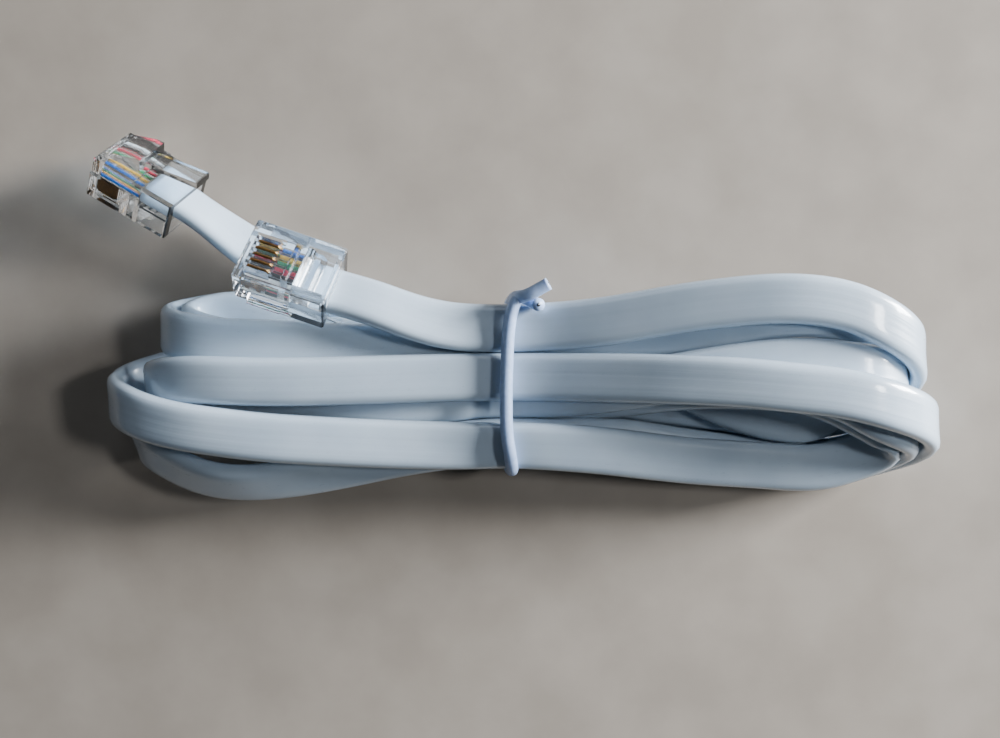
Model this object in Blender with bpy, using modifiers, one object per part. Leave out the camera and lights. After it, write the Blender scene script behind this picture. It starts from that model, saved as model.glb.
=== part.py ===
"""A flat six-core telephone line cord with a clear modular plug on each end.

The cord is wound into a flat hank and held at its middle by a plastic-coated wire tie.
Both ends leave the tie towards -X: plug a lies on the hank, plug b on the floor beside it.
Units are metres, +Z is up, and the floor is Z = 0 under the middle of the whole part.
"""
import math

import bmesh
import bpy
from mathutils import Matrix, Vector

MM = 0.001

# ---- flat cord -------------------------------------------------------------------
CORD_WIDTH = 6.8 * MM
CORD_THICKNESS = 2.4 * MM
CORD_EDGE_STEPS = 4
ROUTE_STEPS = 4

# ---- plug body, in its own frame: +X to the nose, +Z to the contact side ------------
BODY_LENGTH = 12.9 * MM
BODY_WIDTH = 9.65 * MM
BODY_HEIGHT = 6.6 * MM
BODY_EDGE = 0.22 * MM
NOSE_STEP_LENGTH = 1.9 * MM
NOSE_STEP_WIDTH = 8.3 * MM
NOSE_STEP_HEIGHT = 2.6 * MM
REAR_STEP_START = 6.3 * MM
REAR_STEP_DEPTH = 0.4 * MM
RUNNING_GAP = 0.06 * MM
CUT_PAST = 1.0 * MM

# ---- way in for the jacket, and the windows over it ---------------------------------
JACKET_HEIGHT = -0.75 * MM
JACKET_GAP = 0.22 * MM
JACKET_DEPTH = 5.2 * MM
WINDOW_REAR = 0.75 * MM
WINDOW_LENGTH = 4.2 * MM
WINDOW_WIDTH = 6.5 * MM
CLAMP_LENGTH = 2.5 * MM
CLAMP_CREST_LENGTH = 0.6 * MM
CLAMP_STEP_DEPTH = 0.8 * MM
CLAMP_TOE_HEIGHT = 0.8 * MM
CLAMP_HEEL_RISE = 0.6 * MM
CLAMP_RECESS = 0.35 * MM
WIRE_WINDOW_REAR = 5.75 * MM
WIRE_WINDOW_LENGTH = 0.95 * MM
WIRE_WINDOW_WIDTH = 6.0 * MM
WIRE_BAR_CHAMFER = 0.35 * MM

# ---- contacts and wires --------------------------------------------------------------
WAYS = 6
PITCH = 1.02 * MM
BLADE_THICKNESS = 0.3 * MM
BLADE_LENGTH = 3.3 * MM
BLADE_HEIGHT = 3.2 * MM
BLADE_RECESS = 0.9 * MM
BLADE_NOSE_WALL = 0.95 * MM
BLADE_CHAMFER = 0.37 * MM
TINE_HEIGHT = 1.0 * MM
TINE_SPACING = 1.65 * MM
TINE_ROOT_WIDTH = 0.82 * MM
TINE_TIP_WIDTH = 0.2 * MM
SLOT_WIDTH = 0.46 * MM
SLOT_END_GAP = 0.15 * MM
COMB_WIDTH = 0.7 * MM
COMB_LENGTH = 0.55 * MM
COMB_DEPTH = 0.6 * MM
WIRE_DIAMETER = 0.94 * MM
WIRE_HEIGHT = -0.65 * MM
WIRE_BED_DIAMETER = 1.08 * MM
WIRE_NOSE_WALL = 1.1 * MM
WIRE_GAP = 0.1 * MM

# ---- latch ---------------------------------------------------------------------------
LATCH_AXIS_INSET = 1.15 * MM
LATCH_AXIS_DROP = 0.15 * MM
LATCH_KNUCKLE_RADIUS = 0.55 * MM
LATCH_ROOT_WIDTH = 6.1 * MM
LATCH_TAIL_WIDTH = 3.25 * MM
LATCH_ROOT_THICKNESS = 0.75 * MM
LATCH_SHOULDER_THICKNESS = 1.75 * MM
LATCH_SHOULDER = 5.3 * MM
LATCH_TAIL_START = 1.8 * MM
LATCH_TAIL_ROOT_THICKNESS = 0.55 * MM
LATCH_TAIL_THICKNESS = 1.05 * MM
LATCH_LENGTH = 13.5 * MM
LATCH_ANGLE = math.radians(9.0)

# ---- where the plugs lie: middle of the rear face, heading of the nose, roll ---------
PLUG_A_PLACE = Vector((-23.8, 2.5, 14.2)) * MM
PLUG_A_HEADING = math.radians(161.4)
PLUG_A_ROLL = math.radians(28.0)
PLUG_B_PLACE = Vector((-46.7, 15.0, 5.9)) * MM
PLUG_B_HEADING = math.radians(149.5)
PLUG_B_ROLL = math.radians(-132.0)

# ---- hank ----------------------------------------------------------------------------
# Each station gives X, the floor and roof of the winding, the two sides at its floor
# and the two sides at its roof. The turns lean one way at one end, the other at the other.
HANK_STATIONS = (
    (-56.8, 2.4, 10.6, -19.6, -8.0, -19.6, -9.0),
    (-49.7, 0.0, 13.0, -23.5, 1.0, -25.0, -6.5),
    (-38.7, 0.0, 13.0, -24.5, 3.0, -25.8, -5.0),
    (-22.7, 0.6, 12.4, -24.0, 2.0, -24.6, -5.0),
    (-8.7, 2.3, 12.2, -22.8, 0.6, -22.8, -0.4),
    (-0.3, 2.5, 12.2, -22.3, 0.4, -22.3, 0.0),
    (8.3, 2.3, 12.8, -22.8, -0.2, -22.2, 1.2),
    (21.3, 0.6, 16.0, -24.4, -1.5, -18.5, 3.6),
    (37.3, 0.0, 17.8, -25.6, -3.0, -14.8, 4.2),
    (49.3, 0.0, 17.0, -24.0, -5.0, -15.4, 0.5),
    (58.2, 2.6, 13.4, -19.6, -8.0, -17.5, -7.0),
)
HANK_WAIST = 5
HANK_ENDS = ((0.92, 0.9 * MM), (0.72, 1.8 * MM), (0.42, 2.4 * MM))
HANK_CORNER = 2.0 * MM
HANK_CORNER_SHARE = 0.4
HANK_CORNER_STEPS = 2
HANK_STEPS = 2

# ---- leads: points between the plug and the hank, and the roll at each -----------------
LEAD_A_ROUTE = (
    ((-18.9, 0.8, 13.8), -26.0),
    ((-13.2, -1.2, 13.0), -20.0),
    ((-7.7, -2.6, 12.0), -12.0),
)
LEAD_B_ROUTE = (
    ((-42.3, 12.5, 5.2), -40.0),
    ((-38.2, 9.5, 4.4), -28.0),
    ((-33.7, 6.5, 3.8), -16.0),
    ((-28.7, 3.8, 3.4), -7.0),
    ((-21.7, 0.4, 3.7), -2.0),
    ((-14.7, -2.6, 4.7), 0.0),
)
LEAD_CLEARANCE = 0.3 * MM

# ---- wire tie ------------------------------------------------------------------------
TIE_DIAMETER = 1.9 * MM
TIE_CORE_DIAMETER = 0.55 * MM
TIE_BORE_GAP = 0.12 * MM
TIE_CLEARANCE = 0.3 * MM
TIE_CORNER = 3.0 * MM
TIE_KNOT = Vector((1.0, 0.7, 12.9)) * MM
TIE_TWIST_AIM = Vector((0.93, 0.30, 0.20)).normalized()
TIE_TWIST_RADIUS = 1.06 * MM
TIE_TWIST_LENGTH = 3.2 * MM
TIE_TWIST_TURNS = 0.75
TIE_TWIST_START = math.radians(-100.0)
TIE_TWIST_STEPS = 6
TIE_CORNER_STEPS = 3
TIE_ROUTE_STEPS = 2
TIE_LONG_TAIL = 1.6 * MM
TIE_LONG_TAIL_RISE = 0.6 * MM
TIE_SHORT_TAIL = 0.7 * MM
TIE_SHORT_TAIL_RISE = 1.2 * MM

QUARTER_TURN = math.radians(90.0)

# ---- finishes: colour, roughness, metallic, alpha ----------------------------------------
FINISHES = {
    "jacket_pvc": ((0.80, 0.82, 0.85), 0.32, 0.0, 1.0),
    "clear_polycarbonate": ((0.86, 0.90, 0.92), 0.08, 0.0, 0.35),
    "gilt_contact": ((0.83, 0.62, 0.30), 0.25, 1.0, 1.0),
    "tie_pvc": ((0.72, 0.78, 0.92), 0.35, 0.0, 1.0),
    "tie_steel": ((0.55, 0.56, 0.58), 0.40, 1.0, 1.0),
    "wire_white": ((0.86, 0.86, 0.84), 0.40, 0.0, 1.0),
    "wire_black": ((0.03, 0.03, 0.03), 0.40, 0.0, 1.0),
    "wire_red": ((0.75, 0.08, 0.10), 0.40, 0.0, 1.0),
    "wire_green": ((0.05, 0.45, 0.22), 0.40, 0.0, 1.0),
    "wire_yellow": ((0.90, 0.68, 0.20), 0.40, 0.0, 1.0),
    "wire_blue": ((0.05, 0.22, 0.55), 0.40, 0.0, 1.0),
}
WIRE_ORDER = ("blue", "yellow", "green", "red", "black", "white")

PARTS = "line_cord_hank"
CUTTERS = "cutters"


# ---- scene and objects ---------------------------------------------------------------
def clear_scene():
    """Remove every object, so that the part starts from nothing."""
    for old in list(bpy.data.objects):
        bpy.data.objects.remove(old, do_unlink=True)


def collection(name):
    """The collection of that name, made and linked where it is missing."""
    group = bpy.data.collections.get(name)
    if group is None:
        group = bpy.data.collections.new(name)
        bpy.context.scene.collection.children.link(group)
    return group


def finish(name):
    """The material for one of FINISHES."""
    material = bpy.data.materials.get(name)
    if material is None:
        colour, roughness, metallic, alpha = FINISHES[name]
        material = bpy.data.materials.new(name)
        material.use_nodes = True
        shader = material.node_tree.nodes["Principled BSDF"]
        shader.inputs["Base Color"].default_value = (*colour, 1.0)
        shader.inputs["Roughness"].default_value = roughness
        shader.inputs["Metallic"].default_value = metallic
        shader.inputs["Alpha"].default_value = alpha
    return material


def place(obj, material=None, parent=None):
    """Put an object in the parts' collection, with its finish and its parent."""
    collection(PARTS).objects.link(obj)
    if material:
        obj.data.materials.append(finish(material))
    obj.parent = parent
    return obj


def as_cutter(obj, parent=None):
    """Put an object among the cutters, which aren't part of the model."""
    collection(CUTTERS).objects.link(obj)
    obj.parent = parent
    obj.hide_render = True
    obj.display_type = "WIRE"
    return obj


def cut(obj, cutter, operation="DIFFERENCE"):
    """Cut an object with another, or join the two, by an exact Boolean."""
    step = obj.modifiers.new(cutter.name, "BOOLEAN")
    step.operation = operation
    step.object = cutter
    return step


def smooth(obj, degrees=35.0):
    """Shade round walls smooth and keep the edges sharp."""
    obj.data.shade_smooth()
    obj.data.set_sharp_from_angle(angle=math.radians(degrees))


# ---- shapes --------------------------------------------------------------------------
def block(name, low, high):
    """A box between two corners."""
    low, high = Vector(low), Vector(high)
    mesh = bpy.data.meshes.new(name)
    bm = bmesh.new()
    bmesh.ops.create_cube(bm, size=1.0)
    size = high - low
    bmesh.ops.scale(bm, vec=size, verts=bm.verts)
    bmesh.ops.translate(bm, vec=low + size / 2, verts=bm.verts)
    bm.to_mesh(mesh)
    bm.free()
    return bpy.data.objects.new(name, mesh)


def rod(name, radius, start, end, sides):
    """A capped cylinder between two points."""
    start, end = Vector(start), Vector(end)
    along = end - start
    mesh = bpy.data.meshes.new(name)
    bm = bmesh.new()
    bmesh.ops.create_cone(
        bm, cap_ends=True, segments=sides, radius1=radius, radius2=radius, depth=along.length
    )
    turn = along.to_track_quat("Z", "Y").to_matrix().to_4x4()
    bmesh.ops.transform(bm, matrix=Matrix.Translation((start + end) / 2) @ turn, verts=bm.verts)
    bm.to_mesh(mesh)
    bm.free()
    obj = bpy.data.objects.new(name, mesh)
    smooth(obj)
    return obj


def welded(curve_object, distance=1e-6):
    """The evaluated mesh of a curve object as a new object with its caps welded."""
    collection(CUTTERS).objects.link(curve_object)
    bpy.context.view_layer.update()
    evaluated = curve_object.evaluated_get(bpy.context.evaluated_depsgraph_get())
    mesh = bpy.data.meshes.new_from_object(evaluated)
    bm = bmesh.new()
    bm.from_mesh(mesh)
    bmesh.ops.remove_doubles(bm, verts=bm.verts, dist=distance)
    bmesh.ops.recalc_face_normals(bm, faces=bm.faces)
    bm.to_mesh(mesh)
    bm.free()
    name = curve_object.name
    place_ = curve_object.matrix_world.copy()
    bpy.data.objects.remove(curve_object)
    mesh.materials.clear()
    obj = bpy.data.objects.new(name, mesh)
    obj.matrix_world = place_
    return obj


def side_outline(name, points, width):
    """A flat outline in X and Z, given a width along Y and centred on Y = 0."""
    curve = bpy.data.curves.new(name, "CURVE")
    curve.dimensions = "2D"
    curve.fill_mode = "BOTH"
    curve.extrude = width / 2
    spline = curve.splines.new("POLY")
    spline.points.add(len(points) - 1)
    for point, (x, z) in zip(spline.points, points):
        point.co = (x, z, 0.0, 1.0)
    spline.use_cyclic_u = True
    obj = bpy.data.objects.new(name, curve)
    obj.matrix_world = Matrix.Rotation(math.radians(90.0), 4, "X")
    flat = welded(obj)
    flat.data.transform(flat.matrix_world)
    flat.matrix_world = Matrix.Identity(4)
    return flat


class Row(tuple):
    """A row of numbers that adds and scales as a vector does."""

    def __add__(self, other):
        return Row(a + b for a, b in zip(self, other))

    def __sub__(self, other):
        return Row(a - b for a, b in zip(self, other))

    def __mul__(self, factor):
        return Row(a * factor for a in self)

    __rmul__ = __mul__


def smooth_route(points, steps):
    """Rows on a centripetal Catmull-Rom curve through the given rows, both ends included."""
    rows = [2 * points[0] - points[1], *points, 2 * points[-1] - points[-2]]
    knots = [0.0]
    for one, two in zip(rows, rows[1:]):
        knots.append(knots[-1] + math.sqrt(math.dist(one[:3], two[:3])))

    def between(one, two, start, end, t):
        """The row at t on the line from one at start to two at end."""
        return one * ((end - t) / (end - start)) + two * ((t - start) / (end - start))

    route = []
    for index in range(1, len(rows) - 2):
        p0, p1, p2, p3 = rows[index - 1:index + 3]
        t0, t1, t2, t3 = knots[index - 1:index + 3]
        for step in range(steps):
            t = t1 + (t2 - t1) * step / steps
            a = between(p0, p1, t0, t1, t)
            b = between(p1, p2, t1, t2, t)
            c = between(p2, p3, t2, t3, t)
            route.append(between(between(a, b, t0, t2, t), between(b, c, t1, t3, t), t1, t2, t))
    route.append(points[-1])
    return route


def stadium(name, width, thickness, steps):
    """A closed flat curve with round ends, the section of the cord."""
    curve = bpy.data.curves.new(name, "CURVE")
    curve.dimensions = "2D"
    curve.fill_mode = "NONE"
    radius = thickness / 2
    middle = width / 2 - radius
    corners = []
    for side in (1, -1):
        for step in range(steps + 1):
            angle = math.radians(-90 + 180 * step / steps)
            corners.append((side * (middle + radius * math.cos(angle)), side * radius * math.sin(angle)))
    corners.reverse()
    spline = curve.splines.new("POLY")
    spline.points.add(len(corners) - 1)
    for point, (x, y) in zip(spline.points, corners):
        point.co = (x, y, 0.0, 1.0)
    spline.use_cyclic_u = True
    return as_cutter(bpy.data.objects.new(name, curve))


def flat_cord(name, route, section):
    """A flat cord swept along places with a roll each, as a curve object."""
    curve = bpy.data.curves.new(name, "CURVE")
    curve.dimensions = "3D"
    curve.twist_mode = "Z_UP"
    curve.bevel_mode = "OBJECT"
    curve.bevel_object = section
    curve.use_fill_caps = True
    spline = curve.splines.new("POLY")
    spline.points.add(len(route) - 1)
    for point, place_ in zip(spline.points, route):
        point.co = (*place_[:3], 1.0)
        point.tilt = place_[3]
    return bpy.data.objects.new(name, curve)


def wire_curve(name, route, radius, caps):
    """A round wire along places, as a curve object."""
    curve = bpy.data.curves.new(name, "CURVE")
    curve.dimensions = "3D"
    curve.bevel_depth = radius
    curve.bevel_resolution = 2
    curve.use_fill_caps = caps
    spline = curve.splines.new("POLY")
    spline.points.add(len(route) - 1)
    for point, place_ in zip(spline.points, route):
        point.co = (*place_, 1.0)
    return bpy.data.objects.new(name, curve)


# ---- plug ----------------------------------------------------------------------------
def way(index):
    """How far contact number index + 1 lies from the middle of the plug."""
    return (index - (WAYS - 1) / 2) * PITCH


def plug_frame(name, rear, heading, roll):
    """An empty at the middle of a plug's rear face, turned as the plug lies."""
    frame = bpy.data.objects.new(name, None)
    collection(PARTS).objects.link(frame)
    frame.matrix_world = (
        Matrix.Translation(rear)
        @ Matrix.Rotation(heading, 4, "Z")
        @ Matrix.Rotation(roll, 4, "X")
    )
    return frame


def housing(tag, frame):
    """The clear moulded body: jacket way, wire beds, slots, windows and latch seat."""
    half_width, half_height = BODY_WIDTH / 2, BODY_HEIGHT / 2
    body = place(
        block(f"{tag}_housing", (0, -half_width, -half_height), (BODY_LENGTH, half_width, half_height)),
        "clear_polycarbonate",
        frame,
    )
    edges = body.modifiers.new("edges", "BEVEL")
    edges.width = BODY_EDGE
    edges.segments = 1
    roof = half_height + CUT_PAST

    def pocket(name, low, high):
        """Cut a box out of the body."""
        cut(body, as_cutter(block(f"{tag}_{name}", low, high), frame))

    jacket_half = CORD_WIDTH / 2 + JACKET_GAP
    jacket_rise = CORD_THICKNESS / 2 + JACKET_GAP
    pocket(
        "jacket_way",
        (-CUT_PAST, -jacket_half, JACKET_HEIGHT - jacket_rise),
        (JACKET_DEPTH, jacket_half, JACKET_HEIGHT + jacket_rise),
    )
    pocket(
        "jacket_window",
        (WINDOW_REAR, -WINDOW_WIDTH / 2, JACKET_HEIGHT),
        (WINDOW_REAR + WINDOW_LENGTH, WINDOW_WIDTH / 2, roof),
    )
    pocket(
        "wire_window",
        (WIRE_WINDOW_REAR, -WIRE_WINDOW_WIDTH / 2, WIRE_HEIGHT),
        (WIRE_WINDOW_REAR + WIRE_WINDOW_LENGTH, WIRE_WINDOW_WIDTH / 2, roof),
    )
    for side in (-1, 1):
        pocket(
            f"nose_step_{'left' if side > 0 else 'right'}",
            (BODY_LENGTH - NOSE_STEP_LENGTH, min(side * NOSE_STEP_WIDTH / 2, side * BODY_WIDTH), -roof),
            (
                BODY_LENGTH + CUT_PAST,
                max(side * NOSE_STEP_WIDTH / 2, side * BODY_WIDTH),
                -half_height + NOSE_STEP_HEIGHT,
            ),
        )
    pocket(
        "rear_step",
        (-CUT_PAST, -BODY_WIDTH, -roof),
        (REAR_STEP_START, BODY_WIDTH, -half_height + REAR_STEP_DEPTH),
    )
    blade_top = half_height - BLADE_RECESS
    slot_front = BODY_LENGTH - BLADE_NOSE_WALL + SLOT_END_GAP
    slot_rear = BODY_LENGTH - BLADE_NOSE_WALL - BLADE_LENGTH - SLOT_END_GAP
    for index in range(WAYS):
        y = way(index)
        bed = rod(
            f"{tag}_wire_bed_{index + 1}",
            WIRE_BED_DIAMETER / 2,
            (JACKET_DEPTH - CUT_PAST, y, WIRE_HEIGHT),
            (BODY_LENGTH - WIRE_NOSE_WALL + WIRE_GAP, y, WIRE_HEIGHT),
            12,
        )
        cut(body, as_cutter(bed, frame))
        pocket(
            f"slot_{index + 1}",
            (slot_rear, y - SLOT_WIDTH / 2, blade_top - BLADE_HEIGHT - SLOT_END_GAP),
            (slot_front, y + SLOT_WIDTH / 2, roof),
        )
        pocket(
            f"comb_{index + 1}",
            (slot_rear - COMB_LENGTH, y - COMB_WIDTH / 2, half_height - COMB_DEPTH),
            (slot_rear + SLOT_END_GAP, y + COMB_WIDTH / 2, roof),
        )
    seat = rod(
        f"{tag}_latch_seat",
        LATCH_KNUCKLE_RADIUS + RUNNING_GAP,
        (BODY_LENGTH - LATCH_AXIS_INSET, -LATCH_ROOT_WIDTH / 2 - RUNNING_GAP, -half_height - LATCH_AXIS_DROP),
        (BODY_LENGTH - LATCH_AXIS_INSET, LATCH_ROOT_WIDTH / 2 + RUNNING_GAP, -half_height - LATCH_AXIS_DROP),
        20,
    )
    cut(body, as_cutter(seat, frame))
    return body


def latch(tag, frame):
    """The sprung lever: a knuckle in the nose, a wide wedge with shoulders, a narrow tail."""
    axis = bpy.data.objects.new(f"{tag}_latch_axis", None)
    collection(PARTS).objects.link(axis)
    axis.parent = frame
    axis.location = (BODY_LENGTH - LATCH_AXIS_INSET, 0.0, -BODY_HEIGHT / 2 - LATCH_AXIS_DROP)
    axis.rotation_euler = (0.0, -LATCH_ANGLE, 0.0)
    top = LATCH_AXIS_DROP - RUNNING_GAP
    wedge = side_outline(
        f"{tag}_latch",
        (
            (0.0, top),
            (-LATCH_SHOULDER, top),
            (-LATCH_SHOULDER, top - LATCH_SHOULDER_THICKNESS),
            (-LATCH_SHOULDER + LATCH_TAIL_THICKNESS, top - LATCH_SHOULDER_THICKNESS),
            (0.0, top - LATCH_ROOT_THICKNESS),
        ),
        LATCH_ROOT_WIDTH,
    )
    tail = side_outline(
        f"{tag}_latch_tail",
        (
            (-LATCH_TAIL_START, top - RUNNING_GAP),
            (-LATCH_LENGTH, top - RUNNING_GAP),
            (-LATCH_LENGTH, top - LATCH_TAIL_THICKNESS),
            (-LATCH_TAIL_START, top - LATCH_TAIL_ROOT_THICKNESS),
        ),
        LATCH_TAIL_WIDTH,
    )
    half_root = LATCH_ROOT_WIDTH / 2 - RUNNING_GAP
    knuckle = rod(
        f"{tag}_latch_knuckle", LATCH_KNUCKLE_RADIUS, (0.0, -half_root, 0.0), (0.0, half_root, 0.0), 20
    )
    lever = place(wedge, "clear_polycarbonate", axis)
    cut(lever, as_cutter(tail, axis), "UNION")
    cut(lever, as_cutter(knuckle, axis), "UNION")
    return lever


def jacket_clamp(tag, frame):
    """The wedge that is pressed down on the jacket in the rear window."""
    floor = JACKET_HEIGHT + CORD_THICKNESS / 2 + RUNNING_GAP
    front = WINDOW_REAR + WINDOW_LENGTH - RUNNING_GAP
    roof = BODY_HEIGHT / 2 - CLAMP_RECESS
    toe = front - CLAMP_LENGTH
    clamp = side_outline(
        f"{tag}_jacket_clamp",
        (
            (front, floor + CLAMP_HEEL_RISE),
            (front, roof),
            (front - CLAMP_CREST_LENGTH, roof),
            (front - 2 * CLAMP_CREST_LENGTH, roof - CLAMP_STEP_DEPTH),
            (toe + CLAMP_CREST_LENGTH, roof - CLAMP_STEP_DEPTH),
            (toe, floor + CLAMP_TOE_HEIGHT),
            (toe, floor),
            (front - CLAMP_CREST_LENGTH, floor),
        ),
        WINDOW_WIDTH - 2 * RUNNING_GAP,
    )
    return place(clamp, "clear_polycarbonate", frame)


def wire_clamp(tag, frame):
    """The narrow bar that holds the six wires down in front of the jacket."""
    rear = WIRE_WINDOW_REAR + RUNNING_GAP
    front = WIRE_WINDOW_REAR + WIRE_WINDOW_LENGTH - RUNNING_GAP
    floor = WIRE_HEIGHT + WIRE_DIAMETER / 2 + RUNNING_GAP
    roof = BODY_HEIGHT / 2 - CLAMP_RECESS
    bar = side_outline(
        f"{tag}_wire_clamp",
        (
            (rear, floor),
            (rear, roof - WIRE_BAR_CHAMFER),
            (rear + WIRE_BAR_CHAMFER, roof),
            (front, roof),
            (front, floor),
        ),
        WIRE_WINDOW_WIDTH - 2 * RUNNING_GAP,
    )
    return place(bar, "clear_polycarbonate", frame)


def contact(tag, index, frame):
    """A blade with a crown to touch the socket's spring and two tines in its wire."""
    front = BODY_LENGTH - BLADE_NOSE_WALL
    rear = front - BLADE_LENGTH
    roof = BODY_HEIGHT / 2 - BLADE_RECESS
    tip = roof - BLADE_HEIGHT
    root = tip + TINE_HEIGHT
    middle = (front + rear) / 2
    outline = [(rear, root), (rear, roof - BLADE_CHAMFER), (rear + BLADE_CHAMFER, roof)]
    outline += [(front - BLADE_CHAMFER, roof), (front, roof - BLADE_CHAMFER), (front, root)]
    for centre in (middle + TINE_SPACING / 2, middle - TINE_SPACING / 2):
        outline += [
            (centre + TINE_ROOT_WIDTH / 2, root),
            (centre + TINE_TIP_WIDTH / 2, tip),
            (centre - TINE_TIP_WIDTH / 2, tip),
            (centre - TINE_ROOT_WIDTH / 2, root),
        ]
    blade = side_outline(f"{tag}_contact_{index + 1}", outline, BLADE_THICKNESS)
    blade.location.y = way(index)
    return place(blade, "gilt_contact", frame)


def wire(tag, index, frame):
    """An insulated conductor from the jacket to the nose, split by its contact's tines."""
    y = way(index)
    start = JACKET_DEPTH + WIRE_GAP
    end = BODY_LENGTH - WIRE_NOSE_WALL
    name = f"{tag}_wire_{index + 1}"
    strand = place(
        rod(name, WIRE_DIAMETER / 2, (start, y, WIRE_HEIGHT), (end, y, WIRE_HEIGHT), 12),
        f"wire_{WIRE_ORDER[index]}",
        frame,
    )
    blade_top = BODY_HEIGHT / 2 - BLADE_RECESS
    front = BODY_LENGTH - BLADE_NOSE_WALL
    split = block(
        f"{name}_split",
        (
            front - BLADE_LENGTH - WIRE_GAP,
            y - BLADE_THICKNESS / 2 - RUNNING_GAP,
            blade_top - BLADE_HEIGHT - RUNNING_GAP,
        ),
        (front + WIRE_GAP, y + BLADE_THICKNESS / 2 + RUNNING_GAP, BODY_HEIGHT / 2),
    )
    cut(strand, as_cutter(split, frame))
    return strand


def plug(tag, rear, heading, roll):
    """A whole plug, with its pieces parented to an empty that lies as the plug does."""
    frame = plug_frame(f"{tag}_frame", rear, heading, roll)
    housing(tag, frame)
    latch(tag, frame)
    jacket_clamp(tag, frame)
    wire_clamp(tag, frame)
    for index in range(WAYS):
        contact(tag, index, frame)
        wire(tag, index, frame)
    bpy.context.view_layer.update()
    return frame


# ---- hank and leads --------------------------------------------------------------------
def hank_ring(station, squeeze, reach):
    """The rounded section of the hank at one station, squeezed towards its middle height."""
    x, floor, roof, low_right, low_left, high_right, high_left = station
    middle = (floor + roof) / 2
    floor = middle + (floor - middle) * squeeze
    roof = middle + (roof - middle) * squeeze
    corner = min(HANK_CORNER, (roof - floor) * HANK_CORNER_SHARE)
    corners = (
        (low_right + corner, floor + corner),
        (low_left - corner, floor + corner),
        (high_left - corner, roof - corner),
        (high_right + corner, roof - corner),
    )
    ring = []
    for number, (y, z) in enumerate(corners):
        for step in range(HANK_CORNER_STEPS + 1):
            angle = QUARTER_TURN * (2 + number + step / HANK_CORNER_STEPS)
            ring.append(Vector((x + reach, y + corner * math.cos(angle), z + corner * math.sin(angle))))
    return ring


def hank_stations():
    """HANK_STATIONS in metres, smoothed to a closer spacing."""
    rows = smooth_route([Row(value * MM for value in row) for row in HANK_STATIONS], HANK_STEPS)
    return [Row((row[0], max(row[1], 0.0), *row[2:])) for row in rows]


def cable_hank():
    """The wound cord's outer form: two leaning lobes, pinched and raised at the tie."""
    stations = hank_stations()
    rings = [hank_ring(stations[0], squeeze, -reach) for squeeze, reach in reversed(HANK_ENDS)]
    rings += [hank_ring(station, 1.0, 0.0) for station in stations]
    rings += [hank_ring(stations[-1], squeeze, reach) for squeeze, reach in HANK_ENDS]
    bm = bmesh.new()
    loops = [[bm.verts.new(point) for point in ring] for ring in rings]
    count = len(loops[0])
    for one, two in zip(loops, loops[1:]):
        for index in range(count):
            after = (index + 1) % count
            bm.faces.new((one[index], two[index], two[after], one[after]))
    bm.faces.new(loops[0])
    bm.faces.new(reversed(loops[-1]))
    bmesh.ops.triangulate(bm, faces=bm.faces)
    bmesh.ops.recalc_face_normals(bm, faces=bm.faces)
    mesh = bpy.data.meshes.new("cable_hank")
    bm.to_mesh(mesh)
    bm.free()
    hank = place(bpy.data.objects.new("cable_hank", mesh), "jacket_pvc")
    smooth(hank)
    return hank


def lead_places(frame, plug_roll, route):
    """Places and rolls of a lead, from its jacket's end in the plug to the hank."""
    tilt = (QUARTER_TURN - plug_roll) % (2 * QUARTER_TURN) - QUARTER_TURN
    inside = [
        (JACKET_DEPTH - WIRE_GAP, tilt),
        (JACKET_DEPTH / 2, tilt),
        (0.0, tilt),
    ]
    rows = []
    for x, roll in inside:
        spot = frame.matrix_world @ Vector((x, 0.0, JACKET_HEIGHT))
        rows.append(Row((*spot, roll)))
    for spot, degrees in route:
        rows.append(Row((*(value * MM for value in spot), math.radians(degrees))))
    return smooth_route(rows, ROUTE_STEPS)


def lead(name, places, hank, section, wide_section):
    """A free end of the cord, and its way through the hank's solid."""
    place(flat_cord(name, places, section), "jacket_pvc")
    run_in = (places[-1] - places[-2]) * (LEAD_CLEARANCE / math.dist(places[-1][:3], places[-2][:3]))
    channel = flat_cord(f"{name}_channel", [*places, places[-1] + run_in], wide_section)
    cut(hank, as_cutter(welded(channel)))


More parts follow.
